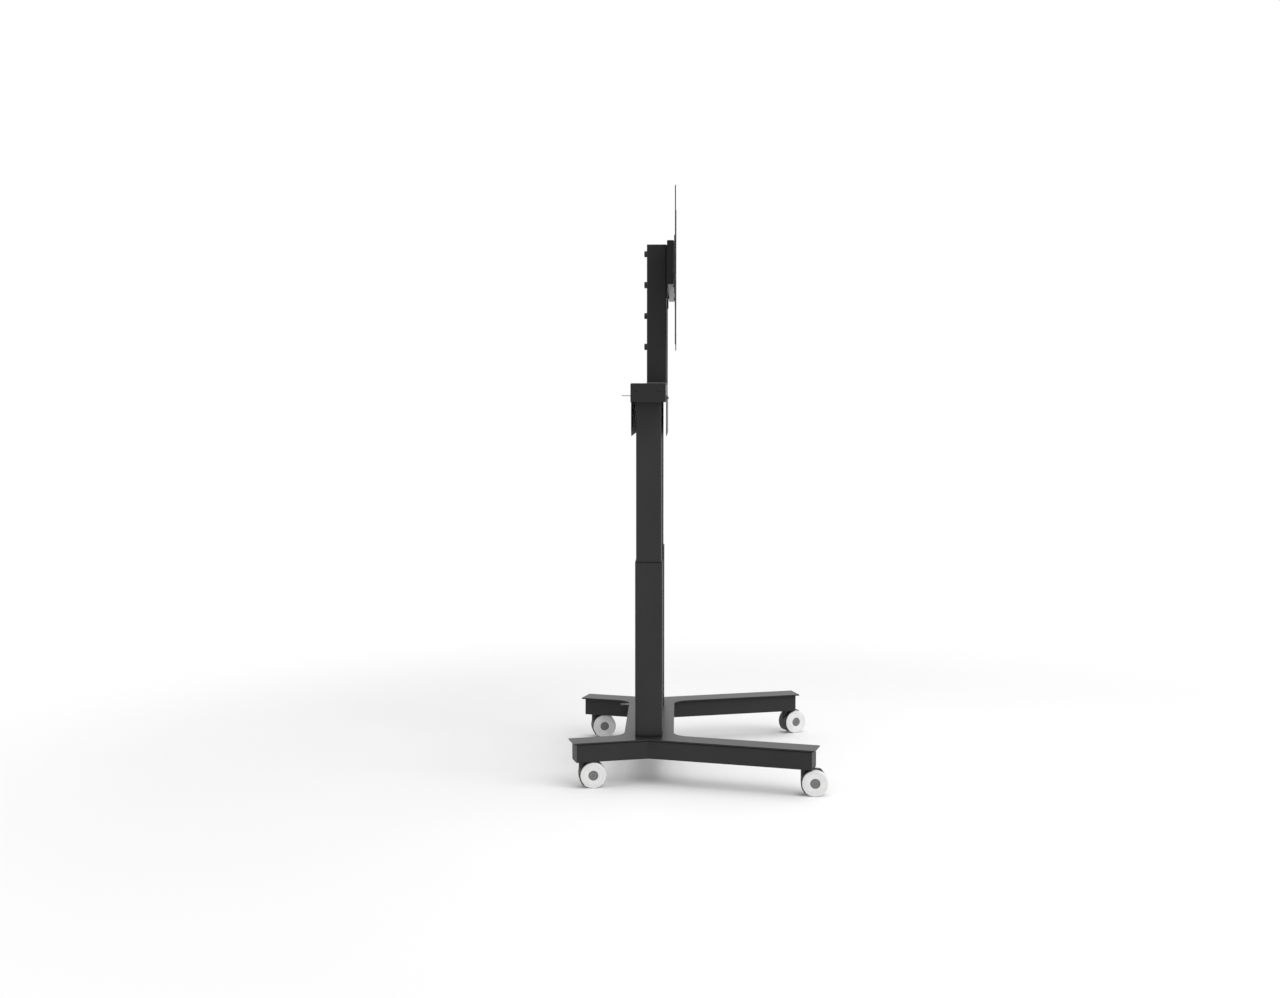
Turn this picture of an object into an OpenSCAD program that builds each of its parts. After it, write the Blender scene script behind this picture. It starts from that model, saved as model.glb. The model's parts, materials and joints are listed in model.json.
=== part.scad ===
// Mobile lift stand with a mounting rail.
// Two telescopic columns stand on an X-shaped base with four twin-wheel casters.
// They carry a cross beam, two uprights, a mounting rail and two hole arms.
// X runs across the stand, -Y is its front, where the arms are, Z is up.
// The origin lies on the floor, in the middle of the stand's outline.
// All lengths are in millimetres and all angles in degrees.

/* [Base] */
// Splay of the four legs from the front-back direction
leg_angle = 16.3; // [8:0.1:24]
// Distance from the middle plane to the bend of a foot
foot_root = 288; // [260:1:340]
// Length of a front leg from the bend
front_leg = 490; // [380:1:600]
// Length of a rear leg from the bend
rear_leg = 222; // [190:1:300]
// Width of a leg tube
leg_w = 60; // [50:1:80]
// Height of a leg tube
leg_h = 54; // [45:1:70]
// Wall of the leg tubes
leg_wall = 3; // [2:0.5:5]
// Corner radius of the leg tubes
leg_r = 5; // [4:0.5:8]
// Height of the legs' underside above the floor
leg_z = 77; // [77:1:95]
// Thickness of the deck plate
deck_t = 4; // [3:0.5:6]
// How far the deck passes a leg on its outer side
deck_out = 3; // [1:0.5:6]
// How far the deck passes a leg on its inner side
deck_in = 13; // [3:0.5:20]
// How far the deck passes the end of a leg
deck_end = 8; // [2:0.5:12]
// Front-back depth of the bridge between the feet
bridge_d = 146; // [110:1:180]
// Radius of the four inner corners of the deck
deck_fillet = 55; // [20:1:80]
// Front-back depth of the tube under the bridge
cross_d = 120; // [80:1:140]

/* [Casters] */
// Diameter of a wheel
wheel_d = 75; // [60:0.5:75]
// Width over both wheels of a caster
caster_w = 48; // [42:0.5:56]
// Gap between the two wheels
wheel_gap = 16; // [14:0.5:20]
// Distance from the swivel axis to the axle
caster_trail = 27; // [20:0.5:32]
// Radius of the hood over the wheels
guard_r = 40.5; // [39.5:0.5:44]
// How far the hood reaches down behind the wheels, below the axle
guard_low = 28; // [0:1:30]
// Diameter of the hub caps
hub_d = 28; // [20:0.5:36]
// Diameter of the axles
axle_d = 8; // [6:0.5:10]
// Diameter of the swivel stems
stem_d = 10; // [8:0.5:12]
// Distance from a front leg's end back to its caster stem
front_inset = 24; // [20:0.5:40]
// Distance from a rear leg's end back to its caster stem
rear_inset = 26; // [20:0.5:40]
// Turn of the front left caster about its stem, anticlockwise from above
front_left_turn = -3; // [-45:1:45]
// Turn of the front right caster
front_right_turn = 26; // [-45:1:45]
// Turn of the rear left caster
rear_left_turn = 8; // [-45:1:45]
// Turn of the rear right caster
rear_right_turn = 9; // [-45:1:45]

/* [Columns] */
// Distance from the middle plane to a column
column_x = 244; // [200:1:255]
// Width of the outer tube
tube_w = 100; // [80:1:110]
// Front-back depth of the outer tube
tube_d = 80; // [60:1:88]
// Corner radius of the outer tube
tube_r = 8; // [5:0.5:12]
// Height of the outer tube's top above the floor
tube_top = 646; // [560:1:700]
// Travel of the lift
stroke = 400; // [300:1:410]
// Height of the cross beam's underside when raised
beam_z = 1112; // [1080:1:1200]
// Diameter of the lift spindles
spindle_d = 16; // [12:0.5:20]

/* [Cross beam] */
// Length of the cross beam
beam_l = 820; // [740:1:900]
// Front-back depth of the cross beam
beam_d = 99; // [92:1:110]
// Height of the cross beam
beam_h = 53; // [48:1:70]
// Sheet thickness of beam and skirts
sheet = 2; // [1.5:0.5:3]
// Outer bend radius of the sheet parts
bend_r = 3; // [3:0.5:5]
// Length of the skirts
skirt_l = 572; // [500:1:640]
// How far the skirts hang below the beam
skirt_drop = 98; // [60:1:110]

/* [Uprights and rail] */
// Width of an upright
upright_w = 60; // [50:1:70]
// Front-back depth of an upright
upright_d = 56.5; // [45:0.5:60]
// Distance from the columns' middle forward to the uprights' front face
upright_front = 50.4; // [46:0.1:54]
// Height of the uprights' top above the cross beam
upright_h = 398; // [360:1:440]
// Pitch of the bolt rows in the uprights
bolt_pitch = 89; // [80:0.5:92]
// Length of the mounting rail
rail_l = 798; // [760:1:840]
// Height of the mounting rail
rail_h = 123; // [118:1:130]
// Depth of the mounting rail
rail_d = 19.4; // [18:0.1:24]
// Wall of the mounting rail
rail_wall = 2.5; // [2:0.5:3]
// Corner radius of the mounting rail
rail_r = 3; // [3:0.5:5]

/* [Arms] */
// Distance from the middle plane to an arm's row of holes
arm_x = 300; // [250:1:330]
// Width of an arm
arm_w = 50; // [40:1:60]
// Length of an arm
arm_l = 450; // [430:1:480]
// Thickness of an arm
arm_t = 3; // [2.5:0.5:4]
// Diameter of the fixing holes in an arm
hole_d = 8.5; // [6.5:0.1:9]
// Width of the carrier plate behind an arm
carrier_w = 92; // [88:1:110]
// Height of the carrier plate behind an arm
carrier_h = 163; // [150:1:180]

/* [Hidden] */
$fn = 48;
eps = 0.01;
play = 0.3;                       // gap between a moving piece and its neighbour
bearing = 0.05;                   // radial play of a pin in its hole
ca = cos(leg_angle);
sa = sin(leg_angle);

// heights
deck_z = leg_z + leg_h;
deck_top = deck_z + deck_t;
flange_t = 8;
end_t = 3;                        // plates that close the leg ends
wheel_r = wheel_d / 2;

// places of the swivel stems: side is -1 or 1 across, way is -1 to the front and 1 to the rear
function leg_len(way) = way < 0 ? front_leg : rear_leg;
function inset(way) = way < 0 ? front_inset : rear_inset;
function turn(side, way) = way < 0 ? (side < 0 ? front_left_turn : front_right_turn)
    : (side < 0 ? rear_left_turn : rear_right_turn);
function leg_point(side, way, along, across) =
    [side * (foot_root + along * sa + across * ca), way * (along * ca - across * sa)];
function bend_point(side, across) = [side * (foot_root + across / ca), 0];
function stem_point(side, way) = leg_point(side, way, leg_len(way) - inset(way), 0);
// a caster rolls with its wheels ahead of the stem
function trail_dir(side, way) = [sin(turn(side, way)), -cos(turn(side, way))];
function wheel_point(side, way) = stem_point(side, way) + caster_trail * trail_dir(side, way);

// the outline of the whole stand is set by the front wheels and the tips of the deck
wheel_soft = 3;                   // radius of the wheels' round shoulders
function wheel_reach(side, way, dir) = wheel_point(side, way) * dir
    + (wheel_r - wheel_soft) * abs(trail_dir(side, way) * dir)
    + (caster_w / 2 - wheel_soft) * abs([cos(turn(side, way)), sin(turn(side, way))] * dir) + wheel_soft;
tip_reach = leg_point(1, -1, front_leg + deck_end, leg_w / 2 + deck_out)[0];
left_reach = max(tip_reach, wheel_reach(-1, -1, [-1, 0]));
right_reach = max(tip_reach, wheel_reach(1, -1, [1, 0]));
front_reach = max(wheel_reach(-1, -1, [0, -1]), wheel_reach(1, -1, [0, -1]));
rear_reach = leg_point(1, 1, rear_leg + deck_end, -leg_w / 2 - deck_in)[1];
middle_x = (left_reach - right_reach) / 2;
column_y = (front_reach - rear_reach) / 2;

// columns
outer_wall = 2;
tube_gap = 1;
inner_w = tube_w - 2 * outer_wall - 2 * tube_gap;
inner_d = tube_d - 2 * outer_wall - 2 * tube_gap;
inner_r = tube_r - outer_wall - tube_gap;
inner_wall = 2.5;
column_foot = deck_top + flange_t;
end_gap = 2;
inner_foot = column_foot + stroke + end_gap;
collar_h = 30;
pad_h = 40;
nut_h = 30;
nut_top = tube_top - 20;
spindle_foot = nut_top - 2 * nut_h;
nut_r = spindle_d / 2 + 6;

// cross beam
beam_top = beam_z + beam_h;
skirt_lap = 20;
screw_r = 4.2;
screw_hole = 2.1;
skirt_screws = [-240, -120, 0, 120, 240];
skirt_screw_z = beam_z + 12;
cover_screw_y = 31;
cover_screw_z = beam_z + 34;

// uprights and rail
foot_t = 3;
upright_foot_z = beam_top + foot_t;
upright_top = beam_top + upright_h;
upright_y = -upright_front + upright_d / 2;
upright_wall = 2.5;
spacer_t = 2.2;
rail_back = -upright_front - spacer_t;
rail_front = rail_back - rail_d;
rail_top = upright_top + 1;
rail_z = rail_top - rail_h / 2;
bolt_top = upright_top - 24;
foot_screw_dx = upright_w / 2 + 10;
foot_screw_dy = 16;

// arms
carrier_t = 2.2;
carrier_front = rail_front - play - carrier_t;
clamp_dx = 35;
clamp_dz = 36;
slot_in = 110;
cap_plug = 6;
slot_out = rail_l / 2 - cap_plug - carrier_w / 2 + clamp_dx;
clamp_r = 4;

// colours
dark = [0.20, 0.20, 0.21];
darker = [0.13, 0.13, 0.14];
deck_grey = [0.46, 0.46, 0.46];
light_grey = [0.62, 0.62, 0.63];
white = [0.88, 0.88, 0.87];
hub_grey = [0.48, 0.48, 0.48];
zinc = [0.72, 0.73, 0.75];
black = [0.07, 0.07, 0.07];

// moves what is drawn round the columns' middle to the stand's own frame
module stand() translate([middle_x, column_y, 0]) children();

module both_sides() for (side = [-1, 1]) translate([side * column_x, 0, 0]) children();

module at_foot_screws() both_sides() for (x = [-1, 1], y = [-1, 1])
    translate([x * foot_screw_dx, upright_y + y * foot_screw_dy, 0]) children();

// rectangle with round corners, centred
module round_rect(w, d, r) {
    square([w, d - 2 * r], center = true);
    square([w - 2 * r, d], center = true);
    for (x = [-1, 1], y = [-1, 1]) translate([x * (w / 2 - r), y * (d / 2 - r)]) circle(r);
}

module tube_profile(w, d, r, wall) difference() {
    round_rect(w, d, r);
    round_rect(w - 2 * wall, d - 2 * wall, max(r - wall, 0.5));
}

// strip of sheet with one bend: a and b are its outer lengths along the first and second axis
module bent_sheet(a, b, t, r) intersection() {
    square([a, b]);
    translate([a, b]) difference() {
        round_rect(2 * a, 2 * b, r);
        round_rect(2 * (a - t), 2 * (b - t), r - t);
    }
}

// turns a flat drawing so that its axes are Y and Z; it grows along X, centred
module across(l) translate([-l / 2, 0, 0]) rotate([90, 0, 90]) linear_extrude(l) children();

// V-shaped outline of one foot; out and in are measured from the legs' middle line
module chevron(side, out, in, front, rear) polygon([
    bend_point(side, out), leg_point(side, -1, front, out), leg_point(side, -1, front, -in),
    bend_point(side, -in), leg_point(side, 1, rear, -in), leg_point(side, 1, rear, out)]);

// hexagonal head or nut standing on z = 0
module hex(across_flats, h) cylinder(h = h, d = across_flats / cos(30), $fn = 6);

// straight slot of radius r between two points on the X axis
module slot2d(x0, x1, r) {
    translate([x0, -r]) square([x1 - x0, 2 * r]);
    for (x = [x0, x1]) translate([x, 0]) circle(r);
}

// turns a flat drawing so that its second axis is Z; it grows towards -Y from y = 0
module to_front() rotate([90, 0, 0]) children();

// Base

tab_x = 208;
tab_w = 24;
tab_reach = 28;
beam_tab_reach = 47;
tab_hole = 4;
tab_root = 8;

// points of the round inner corner between the bridge and a leg, from the bridge outwards
function deck_corner(side, way) =
    let (inner = foot_root - (leg_w / 2 + deck_in) / ca, up = bridge_d / 2 + deck_fillet,
        centre = [side * (inner + (up * sa - deck_fillet) / ca), way * up])
    [for (i = [0:24]) let (t = i / 24 * (90 - leg_angle))
        centre + deck_fillet * [side * sin(t), -way * cos(t)]];

// points of the cable tab behind the bridge, from left to right
function deck_tab() = let (edge = bridge_d / 2, r = tab_w / 2)
    concat([[tab_x - r, edge]],
        [for (i = [0:24]) [tab_x - r * cos(i * 7.5), edge + tab_reach - r + r * sin(i * 7.5)]],
        [[tab_x + r, edge]]);

function turned(list) = [for (i = [len(list) - 1:-1:0]) list[i]];

module deck_outline() {
    out = leg_w / 2 + deck_out;
    in = leg_w / 2 + deck_in;
    front = front_leg + deck_end;
    rear = rear_leg + deck_end;
    polygon(concat(
        [bend_point(1, out), leg_point(1, -1, front, out), leg_point(1, -1, front, -in)],
        turned(deck_corner(1, -1)), deck_corner(-1, -1),
        [leg_point(-1, -1, front, -in), leg_point(-1, -1, front, out), bend_point(-1, out),
            leg_point(-1, 1, rear, out), leg_point(-1, 1, rear, -in)],
        turned(deck_corner(-1, 1)), deck_tab(), deck_corner(1, 1),
        [leg_point(1, 1, rear, -in), leg_point(1, 1, rear, out)]));
}

flange_screw_x = [-tube_w / 2 + 14, -6];
flange_screw_y = tube_d / 2 - 13;

module at_flange_screws() for (side = [-1, 1], x = flange_screw_x, y = [-1, 1])
    translate([side * (column_x + x), y * flange_screw_y, 0]) children();

module base_plate() color(deck_grey) stand() difference() {
    translate([0, 0, deck_z]) linear_extrude(deck_t) deck_outline();
    translate([tab_x, bridge_d / 2 + tab_reach - tab_w / 2, deck_z - 1])
        cylinder(h = deck_t + 2, r = tab_hole);
    at_flange_screws() translate([0, 0, deck_z - 1]) cylinder(h = deck_t + 2, r = 4.3);
}

socket_r = 13;
socket_depth = 42;

// draws a cross-section along one leg, between two distances from the bend
module along_leg(side, way, from, to)
    translate(concat(leg_point(side, way, from, 0), leg_z + leg_h / 2))
        rotate([0, 0, way < 0 ? side * leg_angle : 180 - side * leg_angle]) rotate([90, 0, 0])
            linear_extrude(to - from) children();

// two legs of one foot, cut to a mitre where they meet
module leg_pair(side, w, h, r, front, rear) for (way = [-1, 1]) intersection() {
    along_leg(side, way, -leg_w, way < 0 ? front : rear) round_rect(w, h, r);
    translate([-2 * foot_root, way < 0 ? -2 * front : 0, 0])
        cube([4 * foot_root, 2 * front, 2 * leg_z + leg_h]);
}

module foot(side) color(dark) stand() difference() {
    union() {
        difference() {
            leg_pair(side, leg_w, leg_h, leg_r, front_leg - end_t, rear_leg - end_t);
            leg_pair(side, leg_w - 2 * leg_wall, leg_h - 2 * leg_wall, leg_r - leg_wall,
                front_leg, rear_leg);
        }
        for (way = [-1, 1]) translate(concat(stem_point(side, way), leg_z + 1))
            cylinder(h = leg_h - 2, r = socket_r);
    }
    for (way = [-1, 1]) translate(concat(stem_point(side, way), leg_z - 1))
        cylinder(h = socket_depth + 1, r = stem_d / 2 + bearing);
}

module cross_tube() color(dark) stand() difference() {
    translate([0, 0, leg_z + leg_h / 2]) across(2 * foot_root) tube_profile(cross_d, leg_h, leg_r, leg_wall);
    for (side = [-1, 1]) translate([0, 0, leg_z - 1]) linear_extrude(leg_h + 2)
        chevron(side, leg_w, leg_w / 2, front_leg, rear_leg);
    at_flange_screws() {
        translate([0, 0, leg_z + leg_h - leg_wall - 1]) cylinder(h = leg_wall + 2, r = 4.3);
        translate([0, 0, leg_z - 1]) cylinder(h = leg_wall + 2, r = 10);
    }
}

module leg_end_plates() color(dark) stand() for (side = [-1, 1], way = [-1, 1])
    along_leg(side, way, leg_len(way) - end_t, leg_len(way)) round_rect(leg_w, leg_h, leg_r);

module base_screws() color(zinc) stand() at_flange_screws() {
    head_z = deck_z - leg_wall - 5.3;
    translate([0, 0, head_z]) hex(13, 5.3);
    translate([0, 0, head_z + 1]) cylinder(h = 5.3 - 1 + leg_wall + deck_t + flange_t - 1, r = 4);
}

// Columns

module column_flanges() color(darker) stand() both_sides() difference() {
    translate([0, 0, deck_top]) linear_extrude(flange_t) round_rect(tube_w, tube_d, tube_r);
    for (side = [-1, 1], x = flange_screw_x, y = [-1, 1])
        translate([side * x, y * flange_screw_y, deck_top - 1]) cylinder(h = flange_t, r = 4);
}

module outer_tube(side) color(dark) stand() translate([side * column_x, 0, column_foot])
    linear_extrude(tube_top - column_foot) tube_profile(tube_w, tube_d, tube_r, outer_wall);

// plastic ring in the mouth of each outer tube
module glide_collars() color(darker) stand() both_sides() {
    lip = 2;
    slot_w = inner_w + 2 * play;
    slot_d = inner_d + 2 * play;
    translate([0, 0, tube_top]) linear_extrude(lip) difference() {
        round_rect(tube_w, tube_d, tube_r);
        round_rect(slot_w, slot_d, inner_r + play);
    }
    translate([0, 0, tube_top - collar_h]) linear_extrude(collar_h + eps) difference() {
        round_rect(tube_w - 2 * outer_wall, tube_d - 2 * outer_wall, tube_r - outer_wall);
        round_rect(slot_w, slot_d, inner_r + play);
    }
}

// fixed tube with the drive nut at its top, one in each column
module nut_tubes() color(zinc) stand() both_sides() difference() {
    union() {
        translate([0, 0, column_foot]) cylinder(h = nut_top - column_foot, r = nut_r);
        translate([0, 0, column_foot]) cylinder(h = 10, r = nut_r + 12);
        translate([0, 0, nut_top - nut_h]) cylinder(h = nut_h, r = nut_r + 3);
    }
    translate([0, 0, column_foot + 10])
        cylinder(h = nut_top - nut_h - column_foot - 10, r = spindle_d / 2 + 2);
    translate([0, 0, column_foot + 11]) cylinder(h = nut_top - column_foot, r = spindle_d / 2 + bearing);
}

module inner_tube(side) color(dark) stand() translate([side * column_x, 0, inner_foot])
    linear_extrude(beam_z - inner_foot) tube_profile(inner_w, inner_d, inner_r, inner_wall);

// thin shoes round the bottom of each inner tube
module glide_pads() color(darker) stand() both_sides() translate([0, 0, inner_foot + 5])
    linear_extrude(pad_h) difference() {
        round_rect(inner_w + 2 * (tube_gap - play), inner_d + 2 * (tube_gap - play),
            inner_r + tube_gap - play);
        round_rect(inner_w, inner_d, inner_r);
    }

gear_w = 62;
gear_d = 60;
gear_h = 40;
motor_r = 19;
motor_l = 96;
journal_r = spindle_d / 2 - 2;

module spindle(side) color(zinc) stand() translate([side * column_x, 0, spindle_foot])
{
    cylinder(h = beam_z - spindle_foot, d = spindle_d);
    cylinder(h = beam_z + sheet + gear_h - 12 - spindle_foot, r = journal_r);
}

// gearbox over each column, with its motor lying towards the middle
module drive_motors() color(darker) stand() for (side = [-1, 1]) {
    gear_z = beam_z + sheet;
    difference() {
        union() {
            translate([side * column_x, 0, gear_z]) linear_extrude(gear_h) round_rect(gear_w, gear_d, 8);
            translate([side * (column_x - gear_w / 2 + 1), 0, gear_z + motor_r + 1])
                rotate([0, -90 * side, 0]) cylinder(h = motor_l, r = motor_r);
        }
        translate([side * column_x, 0, gear_z - 1])
            cylinder(h = gear_h - 10, r = journal_r + bearing);
    }
}

// Cross beam

// channel open below, with the inlet's window in its rear wall
module crossbeam() color(dark) stand() difference() {
    translate([0, 0, beam_z]) across(beam_l - 2 * sheet) intersection() {
        tube_profile(beam_d, 2 * beam_h, bend_r, sheet);
        translate([-beam_d / 2, 0]) square([beam_d, beam_h]);
    }
    translate([inlet_x - inlet_w / 2, beam_d / 2 - sheet - 1, inlet_z - inlet_h / 2])
        cube([inlet_w, sheet + 2, inlet_h]);
    for (x = skirt_screws) translate([x, beam_d / 2 + 1, skirt_screw_z]) to_front()
        cylinder(h = beam_d + 2, r = screw_hole);
    at_foot_screws() translate([0, 0, beam_top - sheet - 1]) cylinder(h = sheet + 2, r = screw_hole);
}

module beam_floor() color(dark) stand() difference() {
    translate([-beam_l / 2 + sheet, -beam_d / 2 + sheet, beam_z])
        cube([beam_l - 2 * sheet, beam_d - 2 * sheet, sheet]);
    both_sides() translate([0, 0, beam_z - 1]) cylinder(h = sheet + 2, r = spindle_d / 2 + 6);
}

// end covers with a folded rim inside the beam
module beam_end_covers() color(dark) stand() for (side = [-1, 1]) mirror([side < 0 ? 1 : 0, 0, 0]) {
    rim = 16;
    translate([beam_l / 2 - sheet, 0, 0]) difference() {
        translate([sheet / 2, 0, beam_z]) across(sheet) intersection() {
            round_rect(beam_d, 2 * beam_h, bend_r);
            translate([-beam_d / 2, 0]) square([beam_d, beam_h]);
        }
        for (y = [-1, 1]) translate([-1, y * cover_screw_y, cover_screw_z]) rotate([0, 90, 0])
            cylinder(h = sheet + 2, r = screw_hole);
    }
    translate([beam_l / 2 - sheet - rim, -beam_d / 2 + bend_r, beam_top - 2 * sheet])
        cube([rim + eps, beam_d - 2 * bend_r, sheet]);
}

box_l = 180;
box_d = 68;
box_h = 40;
motor_gap = 8;
box_x = -(column_x - gear_w / 2 + 1 - motor_l) + motor_gap + box_l / 2;
inlet_gap = 6;
inlet_w = 28;
inlet_h = 20;
inlet_deep = 24;
inlet_x = box_x + box_l / 2 + inlet_gap + inlet_w / 2;
inlet_z = beam_z + skirt_lap + inlet_h / 2 + 6;

module control_box() color(black) stand()
    translate([box_x, 0, beam_z + sheet]) linear_extrude(box_h) round_rect(box_l, box_d, 5);

// recessed three-pin power inlet in the rear wall
module power_inlet() color(black) stand() difference() {
    union() {
        translate([inlet_x - inlet_w / 2, beam_d / 2 - inlet_deep, inlet_z - inlet_h / 2])
            cube([inlet_w, inlet_deep, inlet_h]);
        translate([inlet_x - inlet_w / 2 - 4, beam_d / 2, inlet_z - inlet_h / 2 - 4])
            cube([inlet_w + 8, 2.5, inlet_h + 8]);
    }
    translate([inlet_x - 12, beam_d / 2 - 17, inlet_z - 8]) cube([24, 21, 16]);
}

// hanging sheet with clipped lower corners
module skirt(dir) color(dark) stand() {
    clip = 20;
    half = skirt_l / 2;
    low = beam_z - skirt_drop;
    high = beam_z + skirt_lap;
    translate([0, dir < 0 ? -beam_d / 2 : beam_d / 2 + sheet, 0]) to_front() linear_extrude(sheet)
        difference() {
            polygon([[-half, high], [half, high], [half, low + clip], [half - clip, low],
                [-half + clip, low], [-half, low + clip]]);
            for (x = skirt_screws) translate([x, skirt_screw_z]) circle(screw_hole);
            if (dir > 0) translate([tab_x - tab_w / 2 - 1, high - tab_root + 1])
                square([tab_w + 2, tab_root]);
        }
    if (dir > 0) translate([tab_x, beam_d / 2, high]) skirt_tab();
}

// cable tab folded backwards out of a skirt's upper edge
module skirt_tab() {
    mirror([0, 0, 1]) across(tab_w) bent_sheet(tab_root, tab_root, sheet, bend_r);
    hole_y = beam_tab_reach - tab_w / 2;
    translate([0, 0, -sheet]) linear_extrude(sheet) difference() {
        union() {
            translate([-tab_w / 2, tab_root - 1]) square([tab_w, hole_y - tab_root + 1]);
            translate([0, hole_y]) circle(d = tab_w);
        }
        translate([0, hole_y]) circle(tab_hole);
    }
}

// button-headed screws of the skirts, the end covers and the uprights' feet
module button_screw() {
    cylinder(h = 2.2, r1 = screw_r, r2 = screw_r - 1.4);
    translate([0, 0, -6]) cylinder(h = 6 + eps, r = 2);
}

module carriage_screws() color(zinc) stand() {
    for (dir = [-1, 1], x = skirt_screws)
        translate([x, dir * (beam_d / 2 + sheet), skirt_screw_z]) rotate([-90 * dir, 0, 0]) button_screw();
    for (side = [-1, 1], y = [-1, 1])
        translate([side * beam_l / 2, y * cover_screw_y, cover_screw_z]) rotate([0, 90 * side, 0])
            button_screw();
    at_foot_screws() translate([0, 0, upright_foot_z]) button_screw();
}

// Uprights and rail

bolt_rows = [for (i = [0:3]) bolt_top - i * bolt_pitch];

module upright(side) color(dark) stand() difference() {
    translate([side * column_x, upright_y, upright_foot_z]) linear_extrude(upright_top - upright_foot_z)
        tube_profile(upright_w, upright_d, 3, upright_wall);
    for (z = bolt_rows) translate([side * column_x, upright_y + upright_d / 2 + 1, z])
        to_front() cylinder(h = upright_d + 2, r = 5);
}

module upright_feet() color(light_grey) stand() both_sides() translate([0, upright_y, beam_top])
    linear_extrude(foot_t) difference() {
        square([upright_w + 40, upright_d], center = true);
        for (x = [-1, 1], y = [-1, 1]) translate([x * foot_screw_dx, y * foot_screw_dy]) circle(screw_hole);
    }

module upright_caps() color(black) stand() both_sides() translate([0, upright_y, 0]) {
    hollow_w = upright_w - 2 * upright_wall;
    hollow_d = upright_d - 2 * upright_wall;
    translate([-hollow_w / 2 + 1, -hollow_d / 2 + 1, upright_top - 8])
        cube([hollow_w - 2, hollow_d - 2, 8.5]);
    translate([0, 0, upright_top]) linear_extrude(1) round_rect(upright_w - 1, upright_d - 1, 2.5);
}

// through bolts: the two upper rows hold the rail
module upright_bolts() color(darker) stand() both_sides() for (i = [0:3]) {
    rear = upright_y + upright_d / 2;
    tip = i < 2 ? rail_back - rail_wall - 7 : -upright_front + 0.4;
    translate([0, rear, bolt_rows[i]]) rotate([-90, 0, 0]) {
        cylinder(h = 1.6, r = 9);
        hex(17, 8);
    }
    translate([0, rear + 1, bolt_rows[i]]) to_front() cylinder(h = rear + 1 - tip, r = 5);
}

spacer_h = rail_h + 30;

module rail_spacers() color(dark) stand() both_sides() difference() {
    translate([-upright_w / 2, rail_back, rail_top - 3 - spacer_h + 2])
        cube([upright_w, spacer_t, spacer_h]);
    for (i = [0:1]) translate([0, rail_back + spacer_t + 1, bolt_rows[i]]) to_front()
        cylinder(h = spacer_t + 2, r = 5);
}

module mounting_rail() color(dark) stand() difference() {
    translate([0, rail_front + rail_d / 2, rail_z]) across(rail_l)
        tube_profile(rail_d, rail_h, rail_r, rail_wall);
    for (side = [-1, 1], row = [-1, 1])
        translate([0, rail_front + rail_wall + 1, rail_z + row * clamp_dz]) to_front()
            linear_extrude(rail_wall + 2) mirror([side < 0 ? 1 : 0, 0])
                slot2d(slot_in, slot_out, clamp_r + play);
    both_sides() for (i = [0:1]) translate([0, rail_back + 1, bolt_rows[i]]) to_front()
        cylinder(h = rail_wall + 2, r = 5);
}

module rail_end_caps() color(black) stand() for (side = [-1, 1]) mirror([side < 0 ? 1 : 0, 0, 0]) {
    translate([rail_l / 2 + 0.75, rail_front + rail_d / 2, rail_z]) across(1.5)
        round_rect(rail_d - 1, rail_h - 1, rail_r - 0.5);
    translate([rail_l / 2 - cap_plug, rail_front + rail_wall + 0.2, rail_z - rail_h / 2 + rail_wall + 0.2])
        cube([cap_plug + 0.5, rail_d - 2 * rail_wall - 0.4, rail_h - 2 * rail_wall - 0.4]);
}

// Arms

hole_rows = [100, 150, 200];

module arm_bar(side) color(dark) stand() translate([side * arm_x, carrier_front, rail_z]) to_front()
    linear_extrude(arm_t) difference() {
        round_rect(arm_w, arm_l, 6);
        for (z = hole_rows, way = [-1, 1]) translate([0, way * z]) circle(d = hole_d);
    }

// carrier plate with a hook over the rail
module arm_carrier(side) color(dark) stand() translate([side * arm_x, 0, 0]) difference() {
    union() {
        translate([-carrier_w / 2, carrier_front, rail_z - carrier_h / 2])
            cube([carrier_w, carrier_t, carrier_h]);
        translate([0, carrier_front + carrier_t, rail_top + play]) across(carrier_w)
            translate([-eps, 0]) square([rail_d - 4, carrier_t]);
    }
    for (x = [-1, 1], z = [-1, 1])
        translate([x * clamp_dx, carrier_front + carrier_t + 1, rail_z + z * clamp_dz]) to_front()
            cylinder(h = carrier_t + 2, r = clamp_r);
}

// four low-headed screws and two nut strips inside the rail
module arm_clamps(side) color(zinc) stand() translate([side * arm_x, 0, rail_z]) {
    strip_t = 5;
    strip_front = rail_front + rail_wall + play;
    for (x = [-1, 1], z = [-1, 1]) translate([x * clamp_dx, 0, z * clamp_dz]) {
        translate([0, carrier_front, 0]) to_front() cylinder(h = 2.6, r = 7);
        translate([0, strip_front + strip_t + 1, 0]) to_front()
            cylinder(h = strip_front + strip_t + 1 - carrier_front + 0.5, r = clamp_r - play);
    }
    for (z = [-1, 1]) difference() {
        translate([-carrier_w / 2, strip_front, z * clamp_dz - 9]) cube([carrier_w, strip_t, 18]);
        for (x = [-1, 1]) translate([x * clamp_dx, strip_front + strip_t + 2, z * clamp_dz]) to_front()
            cylinder(h = strip_t + 3, r = clamp_r);
    }
}

// Casters

// draws round a caster's swivel axis: X is along the axle, -Y the way it rolls
module caster(side, way) stand() translate(concat(stem_point(side, way), 0))
    rotate([0, 0, turn(side, way)]) children();

// puts a drawing of the rolling plane in place: its first axis points forward from the axle
module rolling_plane(w) translate([w / 2, -caster_trail, wheel_r]) rotate([90, 0, -90])
    linear_extrude(w) children();

hood_w = wheel_gap - 2 * play;
hood_top = leg_z - 0.8 - wheel_r;

cowl_w = caster_w - 3;
cowl_front = -8;
far = 2 * guard_r;
room_r = wheel_r + 0.7;
neck_r = 13.5;

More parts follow.
